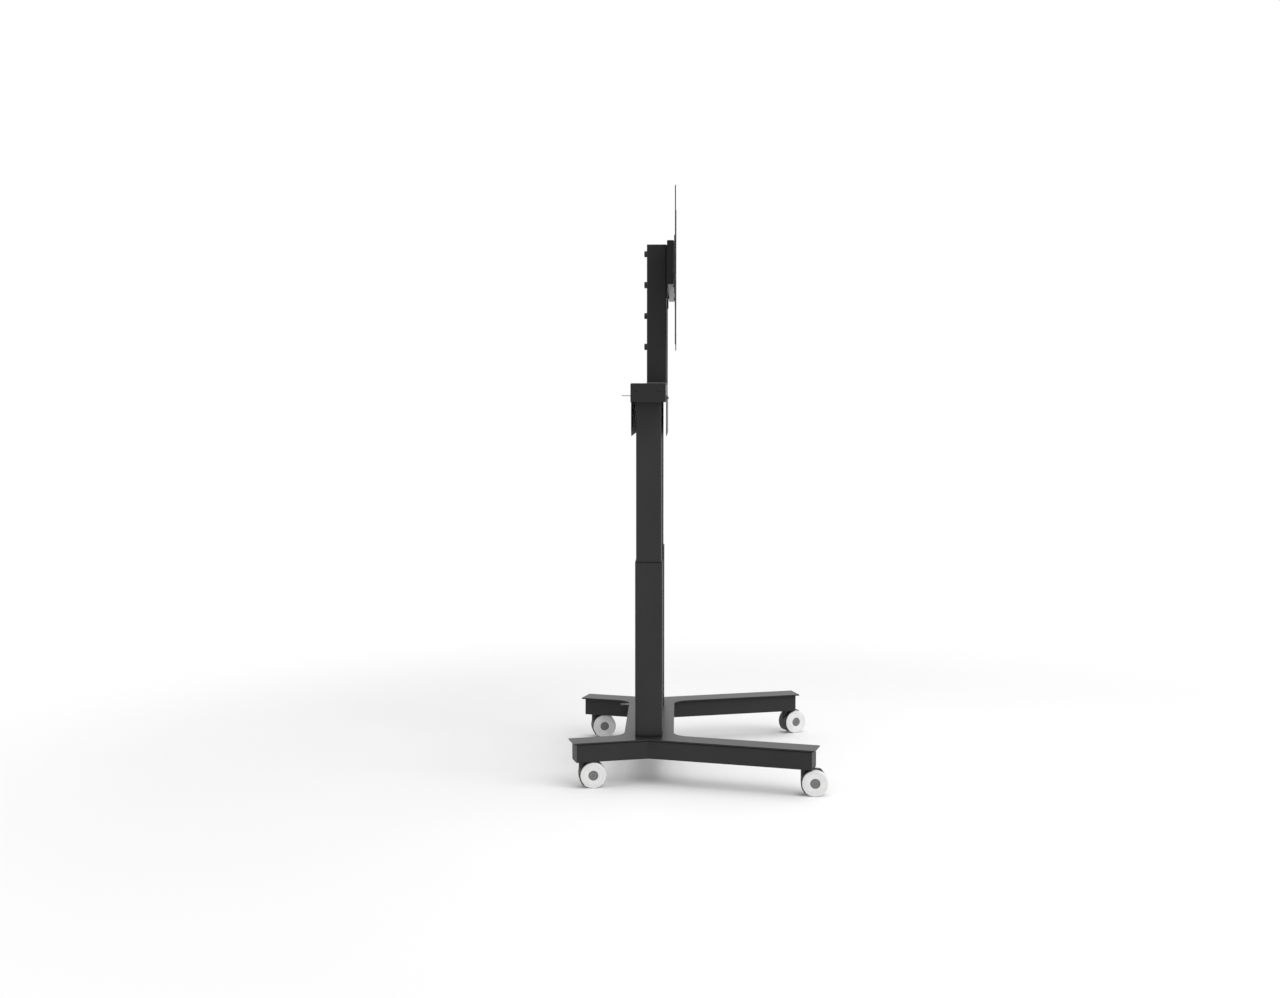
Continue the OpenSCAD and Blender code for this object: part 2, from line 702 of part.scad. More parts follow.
// web between the wheels, seen from the side: it runs forward to a tip over the wheels
module hood_web() {
    intersection() {
        circle(guard_r, $fn = 96);
        polygon([[-far, -guard_low], [-20, -guard_low], [27, 22.5], [18, 36.5], [16, hood_top],
            [-far, hood_top]]);
    }
    circle(wheel_r * 0.78, $fn = 96);
}

// full-width shell behind and over the wheels, seen from the side
module hood_shell() intersection() {
    circle(guard_r, $fn = 96);
    translate([-far, -guard_low]) square([far + cowl_front, guard_low + hood_top]);
}

module caster_hood(side, way) color(darker) caster(side, way) difference() {
    union() {
        rolling_plane(hood_w) hood_web();
        rolling_plane(cowl_w) hood_shell();
        translate([0, 0, wheel_r]) cylinder(h = hood_top, r = neck_r);
    }
    for (s = [-1, 1]) translate([s * hood_w / 2, -caster_trail, wheel_r]) rotate([0, 90 * s, 0])
        cylinder(h = caster_w, r = room_r, $fn = 96);
    translate([0, -caster_trail, wheel_r]) rotate([0, 90, 0])
        cylinder(h = caster_w, r = axle_d / 2 + bearing, center = true);
    translate([0, 0, wheel_r + 8]) cylinder(h = hood_top, r = stem_d / 2);
}

module caster_stem(side, way) color(zinc) caster(side, way) {
    translate([0, 0, wheel_r + 8]) cylinder(h = leg_z - 0.5 - wheel_r - 8, r = stem_d / 2);
    translate([0, 0, leg_z - 1]) cylinder(h = socket_depth - 1, r = stem_d / 2);
}

module caster_axle(side, way) color(zinc) caster(side, way)
    translate([0, -caster_trail, wheel_r]) rotate([0, 90, 0])
        cylinder(h = caster_w - 6, r = axle_d / 2, center = true);

// half section of one wheel, turned round the axle
module wheel_profile() {
    t = (caster_w - wheel_gap) / 2;
    bore = axle_d / 2;
    soft = wheel_soft;
    difference() {
        union() {
            translate([bore, 0]) square([wheel_r - soft - bore, t]);
            translate([bore, soft]) square([wheel_r - bore, t - 2 * soft]);
            for (z = [soft, t - soft]) translate([wheel_r - soft, z]) circle(soft);
        }
        translate([0, t - 3]) square([hub_d / 2 + 0.2, 4]);
        translate([wheel_r - 2.6 * soft, t]) circle(0.6);
    }
}

module caster_wheels(side, way) color(white) caster(side, way)
    for (s = [-1, 1]) translate([s * wheel_gap / 2, -caster_trail, wheel_r])
        rotate([0, 90 * s, 0]) rotate_extrude($fn = 96) wheel_profile();

// half section of a hub cap: a dished face with a small boss
module hub_profile() difference() {
    square([hub_d / 2, 3]);
    translate([2.5, 2.2]) square([hub_d / 2 - 5, 1]);
}

module caster_hub_caps(side, way) color(hub_grey) caster(side, way)
    for (s = [-1, 1]) translate([s * (caster_w / 2 - 3), -caster_trail, wheel_r])
        rotate([0, 90 * s, 0]) rotate_extrude() hub_profile();

base_plate();
foot(-1);  // foot_left
foot(1);  // foot_right
cross_tube();
leg_end_plates();
column_flanges();
outer_tube(-1);  // outer_tube_left
outer_tube(1);  // outer_tube_right
glide_collars();
nut_tubes();
base_screws();
inner_tube(-1);  // inner_tube_left
inner_tube(1);  // inner_tube_right
glide_pads();
crossbeam();
beam_floor();
beam_end_covers();
drive_motors();
control_box();
power_inlet();
skirt(-1);  // front_skirt
skirt(1);  // rear_skirt
upright(-1);  // upright_left
upright(1);  // upright_right
upright_feet();
upright_caps();
upright_bolts();
rail_spacers();
mounting_rail();
rail_end_caps();
carriage_screws();
spindle(-1);  // spindle_left
spindle(1);  // spindle_right
arm_bar(-1);  // arm_bar_left
arm_bar(1);  // arm_bar_right
arm_carrier(-1);  // arm_carrier_left
arm_carrier(1);  // arm_carrier_right
arm_clamps(-1);  // arm_clamps_left
arm_clamps(1);  // arm_clamps_right
caster_hood(-1, -1);  // front_left_hood
caster_stem(-1, -1);  // front_left_stem
caster_axle(-1, -1);  // front_left_axle
caster_wheels(-1, -1);  // front_left_wheels
caster_hub_caps(-1, -1);  // front_left_hub_caps
caster_hood(1, -1);  // front_right_hood
caster_stem(1, -1);  // front_right_stem
caster_axle(1, -1);  // front_right_axle
caster_wheels(1, -1);  // front_right_wheels
caster_hub_caps(1, -1);  // front_right_hub_caps
caster_hood(-1, 1);  // rear_left_hood
caster_stem(-1, 1);  // rear_left_stem
caster_axle(-1, 1);  // rear_left_axle
caster_wheels(-1, 1);  // rear_left_wheels
caster_hub_caps(-1, 1);  // rear_left_hub_caps
caster_hood(1, 1);  // rear_right_hood
caster_stem(1, 1);  // rear_right_stem
caster_axle(1, 1);  // rear_right_axle
caster_wheels(1, 1);  // rear_right_wheels
caster_hub_caps(1, 1);  // rear_right_hub_caps
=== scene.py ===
# %% [markdown]
# # A motorised lift stand on casters
# This lesson dresses a finished engineering model, so that it looks like the real, powder-coated
# stand. The engineering model fixes every size and place. Here we only give each piece its finish,
# turn the small repeated parts into detailed ones, and set up the light and the camera.
# Everything is in metres. +Z is up, and -Y is the front, where the two arms are.

# %% Load the engineering model
import json
import math

import bmesh
import bpy
from mathutils import Matrix, Vector


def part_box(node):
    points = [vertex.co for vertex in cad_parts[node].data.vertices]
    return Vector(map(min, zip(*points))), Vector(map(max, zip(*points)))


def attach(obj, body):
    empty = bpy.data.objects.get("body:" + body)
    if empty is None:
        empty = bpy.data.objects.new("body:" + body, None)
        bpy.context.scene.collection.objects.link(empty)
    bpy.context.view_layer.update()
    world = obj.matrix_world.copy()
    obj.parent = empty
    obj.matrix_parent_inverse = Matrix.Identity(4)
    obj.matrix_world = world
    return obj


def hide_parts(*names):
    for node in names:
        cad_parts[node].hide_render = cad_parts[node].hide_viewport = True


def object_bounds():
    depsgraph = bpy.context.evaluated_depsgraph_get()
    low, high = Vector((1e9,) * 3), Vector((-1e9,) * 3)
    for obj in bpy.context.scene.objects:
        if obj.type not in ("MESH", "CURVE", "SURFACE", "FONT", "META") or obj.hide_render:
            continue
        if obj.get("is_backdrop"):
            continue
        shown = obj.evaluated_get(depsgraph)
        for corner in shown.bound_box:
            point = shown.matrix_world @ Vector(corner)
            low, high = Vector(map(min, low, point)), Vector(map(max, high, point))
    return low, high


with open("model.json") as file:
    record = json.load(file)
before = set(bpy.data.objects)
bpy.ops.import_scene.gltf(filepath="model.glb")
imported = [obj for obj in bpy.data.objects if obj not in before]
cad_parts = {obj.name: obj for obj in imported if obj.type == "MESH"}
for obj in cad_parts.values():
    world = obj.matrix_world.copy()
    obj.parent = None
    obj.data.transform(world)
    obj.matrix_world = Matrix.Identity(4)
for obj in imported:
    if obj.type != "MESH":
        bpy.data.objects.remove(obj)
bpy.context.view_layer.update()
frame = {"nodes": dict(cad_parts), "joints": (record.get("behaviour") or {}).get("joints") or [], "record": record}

MM = 0.001

# %% [markdown]
# ## Reading places from the model
# A screw sits where its hole is, so its place isn't typed in again: a typed place would go stale
# when the model changes. The model stores a group of equal fasteners as one mesh of loose
# triangles. We merge a copy, walk along the edges, and get the box of each separate solid.

# %% Find the separate solids of a node
MERGE_DISTANCE = 1e-6


def solid_boxes(node_name):
    """The lowest and highest corner of each separate solid in a node."""
    mesh = bmesh.new()
    mesh.from_mesh(frame["nodes"][node_name].data)
    bmesh.ops.remove_doubles(mesh, verts=mesh.verts, dist=MERGE_DISTANCE)
    boxes, seen = [], set()
    for first in mesh.verts:
        if first in seen:
            continue
        seen.add(first)
        group, waiting = [], [first]
        while waiting:
            vert = waiting.pop()
            group.append(vert.co.copy())
            for edge in vert.link_edges:
                other = edge.other_vert(vert)
                if other not in seen:
                    seen.add(other)
                    waiting.append(other)
        boxes.append((Vector(map(min, *group)), Vector(map(max, *group))))
    mesh.free()
    return boxes


print("screws on the carriage:", len(solid_boxes("carriage_screws")))

# %% [markdown]
# ## The camera
# The photograph is a side view from the left, from nearly five metres away and at about the height
# of the cross beam, so the verticals stay nearly upright. A camera could be moved by eye until the
# picture fits. Here its place, its turn and its lens were fitted together to the corners of the
# stand, because far and near casters only fall in place together when all of them are right.

# %% Camera at the photograph's place
FILM_WIDTH = 36.0
FOCAL_LENGTH = 44.27
CAMERA_PLACE = Vector((-4.838, 0.053, 1.122))
CAMERA_YAW = 1.43      # degrees, turned towards the rear
CAMERA_PITCH = 3.65    # degrees below the horizon
FARTHEST_SEEN = 60.0


def make_camera():
    camera = bpy.data.objects.new("camera", bpy.data.cameras.new("camera"))
    bpy.context.scene.collection.objects.link(camera)
    yaw, pitch = math.radians(CAMERA_YAW), math.radians(CAMERA_PITCH)
    level = math.cos(pitch)
    aim = Vector((math.cos(yaw) * level, math.sin(yaw) * level, -math.sin(pitch)))
    camera.rotation_euler = aim.to_track_quat("-Z", "Y").to_euler()
    camera.location = CAMERA_PLACE
    camera.data.sensor_width = FILM_WIDTH
    camera.data.lens = FOCAL_LENGTH
    camera.data.clip_end = FARTHEST_SEEN
    bpy.context.scene.camera = camera
    return camera


camera = make_camera()

# %% [markdown]
# ## Writing shader nodes
# A finish is a small network of nodes. It could be drawn in the shader editor, but a few helpers
# keep it short and the same for every finish. One adds a node with its settings, and others give
# a noise, stretch it to the two values we want, mix two tones or dent the surface. The noise reads
# Object coordinates in metres, so a scale of 700 gives grains about a millimetre and a half across.

# %% Start a finish and add nodes to it
def shader_node(tree, kind, inputs=None, **settings):
    made = tree.nodes.new(kind)
    for key, value in settings.items():
        setattr(made, key, value)
    for key, value in (inputs or {}).items():
        made.inputs[key].default_value = value
    return made


def new_finish(name):
    material = bpy.data.materials.new(name)
    material.use_nodes = True
    tree = material.node_tree
    shader = tree.nodes["Principled BSDF"]
    coords = shader_node(tree, "ShaderNodeTexCoord").outputs["Object"]
    return material, tree, shader, coords


print("materials before the first finish:", len(bpy.data.materials))

# %% Noise, tone and relief
NOISE_LOW, NOISE_HIGH = 0.3, 0.7        # nearly all of a noise lies between these values
MIX_DARK, MIX_LIGHT, MIX_RESULT = 6, 7, 2       # the colour sockets of the Mix node
BEVEL_SAMPLES = 4


def noise(tree, coords, scale, detail=2.0, stretch=None):
    if stretch is not None:
        mapping = shader_node(tree, "ShaderNodeMapping", {"Scale": stretch})
        tree.links.new(coords, mapping.inputs["Vector"])
        coords = mapping.outputs["Vector"]
    made = shader_node(tree, "ShaderNodeTexNoise", {"Scale": scale, "Detail": detail})
    tree.links.new(coords, made.inputs["Vector"])
    return made.outputs["Fac"]


def spread(tree, source, low, high):
    """Stretches a noise so that it runs from low to high."""
    made = shader_node(tree, "ShaderNodeMapRange", {"From Min": NOISE_LOW, "From Max": NOISE_HIGH,
                                                    "To Min": low, "To Max": high})
    tree.links.new(source, made.inputs["Value"])
    return made.outputs["Result"]


def tone(tree, factor, colour, amount):
    """Mixes a darker and a lighter version of one colour."""
    made = shader_node(tree, "ShaderNodeMix", data_type="RGBA")
    made.inputs[MIX_DARK].default_value = (*[c * (1 - amount) for c in colour], 1)
    made.inputs[MIX_LIGHT].default_value = (*[c * (1 + amount) for c in colour], 1)
    tree.links.new(factor, made.inputs["Factor"])
    return made.outputs[MIX_RESULT]


def bump(tree, height, strength, distance, under=None):
    made = shader_node(tree, "ShaderNodeBump", {"Strength": strength, "Distance": distance})
    tree.links.new(height, made.inputs["Height"])
    if under is not None:
        tree.links.new(under, made.inputs["Normal"])
    return made.outputs["Normal"]


def soft_edges(tree, radius):
    """A normal that rounds sharp edges by this radius, as paint and tooling do."""
    made = shader_node(tree, "ShaderNodeBevel", {"Radius": radius}, samples=BEVEL_SAMPLES)
    return made.outputs["Normal"]


print("a noise is stretched from", (NOISE_LOW, NOISE_HIGH), "to the values of each finish")

# %% [markdown]
# ## Powder coat
# Nearly every piece is steel with a baked powder coat. Up close the coat has an orange-peel skin
# about a millimetre across with a finer grain over it, and the tone drifts a little over a long
# tube. It is dark, but glossy enough to mirror bright surroundings at a flat angle. That is why
# the top of the base looks grey from the side, and the faces towards us almost black. The skin
# could be real relief in the mesh, but that would take millions of faces, so bump nodes make it.

# %% Powder coat
DRIFT_SCALE, DRIFT_TONE = 7.0, 0.10
SKIN_SCALE, SKIN_DEPTH = 700.0, 0.03 * MM
GRAIN_SCALE, GRAIN_DEPTH, GRAIN_STRENGTH = 2600.0, 0.008 * MM, 0.25
COAT_UNEVENNESS = 0.05      # of the roughness, up and down
COAT_EDGE = 0.9 * MM


def powder_coat(name, colour, roughness=0.42, gloss=0.25, peel=0.35):
    material, tree, shader, coords = new_finish(name)
    drift = spread(tree, noise(tree, coords, DRIFT_SCALE, detail=3.0), 0.0, 1.0)
    tree.links.new(tone(tree, drift, colour, DRIFT_TONE), shader.inputs["Base Color"])
    skin = noise(tree, coords, SKIN_SCALE, detail=1.5)
    grain = noise(tree, coords, GRAIN_SCALE)
    rough = spread(tree, grain, roughness - COAT_UNEVENNESS, roughness + COAT_UNEVENNESS)
    tree.links.new(rough, shader.inputs["Roughness"])
    shader.inputs["Specular IOR Level"].default_value = gloss
    peeled = bump(tree, skin, peel, SKIN_DEPTH, soft_edges(tree, COAT_EDGE))
    grained = bump(tree, grain, GRAIN_STRENGTH, GRAIN_DEPTH, peeled)
    tree.links.new(grained, shader.inputs["Normal"])
    return material


print("orange peel", round(1 / SKIN_SCALE / MM, 1), "mm across")

# %% [markdown]
# ## Bare and plated metal
# Axles, nut strips and screws have no powder coat. Turning and plating leave fine lines and cloudy
# patches of uneven gloss. A picture texture could hold them, but it would need a flattened mesh.
# Noise in space needs none, and stretching it along one axis gives the lines their direction.

# %% Turned, plated or blackened metal
STREAK_SCALE, STREAK_TONE, STREAK_STRENGTH, STREAK_DEPTH = 160.0, 0.12, 0.2, 0.02 * MM
BLOTCH_SCALE, BLOTCH_SMOOTHER, BLOTCH_ROUGHER = 60.0, 0.07, 0.09
METAL_EDGE = 0.3 * MM


def bare_metal(name, colour, roughness, stretch=(1.0, 1.0, 1.0)):
    material, tree, shader, coords = new_finish(name)
    shader.inputs["Metallic"].default_value = 1.0
    lines = noise(tree, coords, STREAK_SCALE, detail=3.0, stretch=stretch)
    colours = tone(tree, spread(tree, lines, 0.0, 1.0), colour, STREAK_TONE)
    tree.links.new(colours, shader.inputs["Base Color"])
    blotch = noise(tree, coords, BLOTCH_SCALE, detail=4.0)
    rough = spread(tree, blotch, roughness - BLOTCH_SMOOTHER, roughness + BLOTCH_ROUGHER)
    tree.links.new(rough, shader.inputs["Roughness"])
    normal = bump(tree, lines, STREAK_STRENGTH, STREAK_DEPTH, soft_edges(tree, METAL_EDGE))
    tree.links.new(normal, shader.inputs["Normal"])
    return material


print("patches on bare metal", round(1 / BLOTCH_SCALE / MM), "mm across")

# %% [markdown]
# ## Plastics
# Moulded parts take the grain of the tool that made them: a fine, even spark-eroded texture. The
# white tyres are softer and smoother, and their tone has a slight cloudiness. One function makes
# them all, since only colour, gloss and the size of the grain differ.

# %% Moulded plastic and polyurethane
CLOUD_SCALE, CLOUD_TONE = 45.0, 0.05
MOULD_STRENGTH, MOULD_DEPTH, MOULD_EDGE = 0.35, 0.02 * MM, 0.6 * MM
MOULD_SMOOTHER, MOULD_ROUGHER = 0.04, 0.06


def moulded(name, colour, roughness=0.5, gloss=0.4, grain_size=0.5 * MM):
    material, tree, shader, coords = new_finish(name)
    cloud = spread(tree, noise(tree, coords, CLOUD_SCALE, detail=3.0), 0.0, 1.0)
    tree.links.new(tone(tree, cloud, colour, CLOUD_TONE), shader.inputs["Base Color"])
    grain = noise(tree, coords, 1.0 / grain_size)
    rough = spread(tree, grain, roughness - MOULD_SMOOTHER, roughness + MOULD_ROUGHER)
    tree.links.new(rough, shader.inputs["Roughness"])
    shader.inputs["Specular IOR Level"].default_value = gloss
    normal = bump(tree, grain, MOULD_STRENGTH, MOULD_DEPTH, soft_edges(tree, MOULD_EDGE))
    tree.links.new(normal, shader.inputs["Normal"])
    return material


print("clouds in a tyre", round(1 / CLOUD_SCALE / MM), "mm across")

# %% [markdown]
# ## One finish for each slot of the model
# The model's record says which slot every node takes its finish from. Each piece could get a
# material of its own, but then a change of colour would be a hunt. We make one material per slot
# and hand them out. Colours are amounts of light, so 0.02 is a dark grey and not black. The feet
# of the uprights are the only light grey coat. The uprights and the beam carry the same paint as
# the columns, but their coats are made darker: that is painted shade, for the shade that falls on
# the upper pieces of the stand. The other coats differ a little in tone.

# %% Make the finishes and hand them out
FINISHES = {
    "deck": powder_coat("deck_coat", (0.022, 0.022, 0.0225), roughness=0.36),
    "frame": powder_coat("base_coat", (0.026, 0.026, 0.0265), roughness=0.5, gloss=0.2),
    "column": powder_coat("column_coat", (0.021, 0.021, 0.0215), peel=0.2),
    "flange": powder_coat("flange_coat", (0.010, 0.010, 0.0105)),
    # The beam and upright coats are darker than the column coat: painted shade on the upper pieces.
    "beam": powder_coat("beam_coat_painted_shade", (0.012, 0.012, 0.0125)),
    "upright": powder_coat("upright_coat_painted_shade", (0.008, 0.008, 0.0085)),
    "foot_plate": powder_coat("foot_plate_coat", (0.16, 0.16, 0.162)),
    "rail": powder_coat("rail_coat", (0.010, 0.010, 0.0105), roughness=0.36, gloss=0.5),
    "motor": powder_coat("motor_coat", (0.012, 0.012, 0.012), roughness=0.5, peel=0.6),
    "black_plastic": moulded("black_moulding", (0.006, 0.006, 0.006), gloss=0.16),
    "electronics": moulded("control_housing", (0.012, 0.012, 0.012)),
    "hood": moulded("caster_nylon", (0.008, 0.008, 0.008), roughness=0.46),
    "wheel": moulded("white_tyre", (0.76, 0.76, 0.755), roughness=0.42, grain_size=0.9 * MM),
    "hub": moulded("hub_grey", (0.175, 0.175, 0.177), roughness=0.48),
    "steel": bare_metal("turned_steel", (0.50, 0.50, 0.51), 0.28, stretch=(1.0, 1.0, 30.0)),
    "zinc": bare_metal("zinc_plate", (0.58, 0.59, 0.62), 0.34),
    "black_oxide": bare_metal("black_oxide", (0.035, 0.035, 0.037), 0.42),
}


def hand_out_finishes():
    for row in frame["record"]["subparts"]:
        piece = frame["nodes"][row["node"]]
        finish = FINISHES[row["material_slot"]]
        if not piece.material_slots:
            piece.data.materials.append(finish)
        for slot in piece.material_slots:
            slot.material = finish


hand_out_finishes()
print("finishes made:", len(FINISHES))

# %% [markdown]
# ## Turned pieces
# Screw heads, bolts, tyres and hub caps are all turned round an axis. The Screw modifier could
# turn a profile, but only round ones. A lathe in code is a list of rings, each with a radius and a
# height. A ring may also be a hexagon, so the same lathe cuts a hex socket into a screw or makes
# the flats of a bolt head.

# %% A lathe for round and hexagonal rings
SMOOTH_ANGLE = math.radians(34.0)       # a crease sharper than this stays an edge


def ring_reach(radius, sides, angle):
    """Distance of the ring from the axis at an angle; sides is 0 for a round ring."""
    if not sides:
        return radius
    half = math.pi / sides
    return radius / math.cos((angle + half) % (2 * half) - half)


def lathe(name, rings, steps, material):
    """rings holds (radius, height, sides), and the first and last may be closed or open."""
    mesh = bmesh.new()
    loops = []
    for radius, height, sides in rings:
        if radius == 0:
            loops.append([mesh.verts.new((0, 0, height))])
            continue
        loop = []
        for step in range(steps):
            angle = 2 * math.pi * step / steps
            reach = ring_reach(radius, sides, angle)
            place = (reach * math.cos(angle), reach * math.sin(angle), height)
            loop.append(mesh.verts.new(place))
        loops.append(loop)
    for low, high in zip(loops, loops[1:]):
        for step in range(steps):
            after = (step + 1) % steps
            corners = [low[step % len(low)], low[after % len(low)],
                       high[after % len(high)], high[step % len(high)]]
            corners = list(dict.fromkeys(corners))
            if len(corners) > 2:
                mesh.faces.new(corners)
    bmesh.ops.recalc_face_normals(mesh, faces=mesh.faces)
    data = bpy.data.meshes.new(name)
    mesh.to_mesh(data)
    mesh.free()
    data.materials.append(material)
    for face in data.polygons:
        face.use_smooth = True
    data.set_sharp_from_angle(angle=SMOOTH_ANGLE)
    return data


print("a 10 mm hexagon reaches", round(ring_reach(5, 6, math.radians(30)), 2), "mm at its corners")

# %% [markdown]
# ## Geometry Nodes put the copies in place
# The pieces that repeat are set by one node tree. Copies could also be placed one by one in a
# loop, but the tree keeps its sizes as named inputs, and one seed decides all that is random. It
# takes a mesh of single points, puts the turned piece on each point, turns it so that its axis
# follows the vector stored on the point, spins it by a seeded random amount, as a screw never
# stops at the same angle, and makes the copies real. The result is applied, one mesh for each
# moving body.

# %% Helpers for node trees
RANDOM_MIN, RANDOM_MAX, RANDOM_VALUE = 2, 3, 1      # the float sockets of the Random Value node


def geometry_node(tree, kind, **settings):
    made = tree.nodes.new(kind)
    for key, value in settings.items():
        setattr(made, key, value)
    return made


def name_sockets(tree, rows):
    """Adds sockets to a tree and returns the identifier of each by its label."""
    found = {}
    for label, kind, way in rows:
        socket = tree.interface.new_socket(label, in_out=way, socket_type="NodeSocket" + kind)
        found[label] = socket.identifier
    return found


def grow(name, data, tree, sockets, values):
    """Runs a tree on a mesh of points or lines and returns the result as a plain object."""
    holder = bpy.data.objects.new(name + "_holder", data)
    bpy.context.scene.collection.objects.link(holder)
    modifier = holder.modifiers.new("grow", "NODES")
    modifier.node_group = tree
    for label, value in values.items():
        modifier[sockets[label]] = value
    bpy.context.view_layer.update()
    evaluated = holder.evaluated_get(bpy.context.evaluated_depsgraph_get())
    mesh = bpy.data.meshes.new_from_object(evaluated)
    bpy.data.objects.remove(holder)
    piece = bpy.data.objects.new(name, mesh)
    bpy.context.scene.collection.objects.link(piece)
    return piece


print("node trees before the first one is built:", len(bpy.data.node_groups))


# %% Build the tree that sets turned pieces
def make_setter_tree():
    tree = bpy.data.node_groups.new("set_turned_pieces", "GeometryNodeTree")
    sockets = name_sockets(tree, (("Points", "Geometry", "INPUT"), ("Piece", "Object", "INPUT"),
                                  ("Size", "Float", "INPUT"), ("Spin", "Float", "INPUT"),
                                  ("Seed", "Int", "INPUT"), ("Finish", "Material", "INPUT"),
                                  ("Set Pieces", "Geometry", "OUTPUT")))
    given = geometry_node(tree, "NodeGroupInput").outputs
    result = geometry_node(tree, "NodeGroupOutput").inputs
    info = geometry_node(tree, "GeometryNodeObjectInfo")
    place = geometry_node(tree, "GeometryNodeInstanceOnPoints")
    axis = geometry_node(tree, "GeometryNodeInputNamedAttribute", data_type="FLOAT_VECTOR")
    axis.inputs["Name"].default_value = "axis"
    turn = geometry_node(tree, "FunctionNodeAlignRotationToVector", axis="Z")
    spin = geometry_node(tree, "FunctionNodeRandomValue", data_type="FLOAT")
    about = geometry_node(tree, "FunctionNodeAxisAngleToRotation")
    about.inputs["Axis"].default_value = (0, 0, 1)
    joined = geometry_node(tree, "FunctionNodeRotateRotation", rotation_space="LOCAL")
    real = geometry_node(tree, "GeometryNodeRealizeInstances")
    coat = geometry_node(tree, "GeometryNodeSetMaterial")
    link = tree.links.new
    link(given["Piece"], info.inputs["Object"])
    link(given["Points"], place.inputs["Points"])
    link(info.outputs["Geometry"], place.inputs["Instance"])
    link(given["Size"], place.inputs["Scale"])
    link(axis.outputs["Attribute"], turn.inputs["Vector"])
    link(given["Spin"], spin.inputs[RANDOM_MAX])
    link(given["Seed"], spin.inputs["Seed"])
    link(spin.outputs[RANDOM_VALUE], about.inputs["Angle"])
    link(turn.outputs["Rotation"], joined.inputs["Rotation"])
    link(about.outputs["Rotation"], joined.inputs["Rotate By"])
    link(joined.outputs["Rotation"], place.inputs["Rotation"])
    link(place.outputs["Instances"], real.inputs["Geometry"])
    link(real.outputs["Geometry"], coat.inputs["Geometry"])
    link(given["Finish"], coat.inputs["Material"])
    link(coat.outputs["Geometry"], result["Set Pieces"])
    return tree, sockets


SETTER, SETTER_SOCKETS = make_setter_tree()
print("nodes in the tree that sets pieces:", len(SETTER.nodes))


# %% Use the tree and hand the result to its body
def set_pieces(name, turned, places, spin=2 * math.pi, seed=1):
    """Copies of a turned mesh at places, a list of (point, axis)."""
    points = bpy.data.meshes.new(name + "_points")
    points.from_pydata([tuple(point) for point, _ in places], [], [])
    axes = points.attributes.new("axis", "FLOAT_VECTOR", "POINT")
    axes.data.foreach_set("vector", [c for _, axis in places for c in axis])
    pattern = bpy.data.objects.new(name + "_pattern", turned)
    bpy.context.scene.collection.objects.link(pattern)
    values = {"Piece": pattern, "Size": 1.0, "Spin": spin, "Seed": seed,
              "Finish": turned.materials[0]}
    piece = grow(name, points, SETTER, SETTER_SOCKETS, values)
    bpy.data.objects.remove(pattern)
    print(name, "has", len(places), "copies and", len(piece.data.polygons), "faces")
    return piece


def stand_in(piece, node, body):
    """The piece takes the place of a node of the model and rides on a body."""
    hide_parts(node)
    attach(piece, body)


print("sockets of the tree:", ", ".join(SETTER_SOCKETS))

# %% [markdown]
# ## Button-head screws
# The skirts, the end covers and the uprights' feet are held by M4 button heads: a low dome with a
# hex socket. A socket could be cut out of a dome with a Boolean, which leaves long thin faces that
# shade badly. The lathe turns the dome with the socket in it. The axis of each screw follows from
# where it sits: on an end cover it points along X, on the beam's top it points up, else along Y.

# %% Turn a button head
SCREW_STEPS = 36
DOME = ((1.0, 0.0), (1.0, 0.12), (0.93, 0.42), (0.78, 0.72), (0.60, 0.93))  # of radius and height
SOCKET_LIP = 1.22           # of the key, where the dome ends
SOCKET_WALL, SOCKET_FLOOR, SOCKET_CENTRE = 0.95, 0.42, 0.3     # of the key, and of the height
SOCKET_EDGE = 0.15 * MM
TIP_BEVEL = 0.4 * MM


def button_head(name, radius, height, key, shank_radius, shank, material):
    """key is half the width of the hex socket across its flats."""
    rings = [(0, -shank, 0), (shank_radius - TIP_BEVEL, -shank, 0),
             (shank_radius, -shank + TIP_BEVEL, 0), (shank_radius, 0, 0)]
    rings += [(out * radius, up * height, 0) for out, up in DOME]
    rings += [(SOCKET_LIP * key, height, 0), (key, height, 6),
              (SOCKET_WALL * key, height - SOCKET_EDGE, 6),
              (SOCKET_WALL * key, SOCKET_FLOOR * height, 6), (0, SOCKET_CENTRE * height, 0)]
    return lathe(name, rings, SCREW_STEPS, material)


HEAD_HEIGHT = 2.2 * MM
button = button_head("button_head", radius=4.2 * MM, height=HEAD_HEIGHT, key=1.35 * MM,
                     shank_radius=2 * MM, shank=6 * MM, material=FINISHES["black_oxide"])
print("a button head has", len(button.polygons), "faces")

# %% Set the button heads on the carriage
TOP_BAND = 6 * MM           # a screw that starts this near the beam's top points up
END_BAND = 8 * MM           # a screw this near the beam's end holds the end cover


def screw_axis(low, high):
    beam_low, beam_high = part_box("crossbeam")
    middle = (low + high) / 2
    if low.z > beam_high.z - TOP_BAND:
        return Vector((0, 0, 1))
    if abs(middle.x) > beam_high.x - END_BAND:
        return Vector((math.copysign(1, middle.x), 0, 0))
    return Vector((0, math.copysign(1, middle.y - (beam_low.y + beam_high.y) / 2), 0))


def extent(low, high, axis):
    """Length of a box along an axis."""
    return abs((high - low).dot(axis))


def seat_of(low, high, axis, proud):
    """The point under the head: on the axis, one head height below the solid's outer end."""
    return (low + high) / 2 + axis * (extent(low, high, axis) / 2 - proud)


screw_places = []
for low, high in solid_boxes("carriage_screws"):
    outwards = screw_axis(low, high)
    screw_places.append((seat_of(low, high, outwards, HEAD_HEIGHT), outwards))
screws = set_pieces("button_screws", button, screw_places, seed=4)
stand_in(screws, "carriage_screws", "carriage")

# %% [markdown]
# ## Hexagon bolts
# Four bolts cross each upright, and their heads show at the back, each on a plain washer. Smaller
# bolts hold the columns from below, in the access holes of the cross tube. A real head has a round
# chamfer on its top and a thin collar below. A six-sided cylinder would show neither, so the
# chamfer is a round ring that is smaller than the hexagon under it. Bolts of one length are one
# turned mesh, and the length comes from the model.

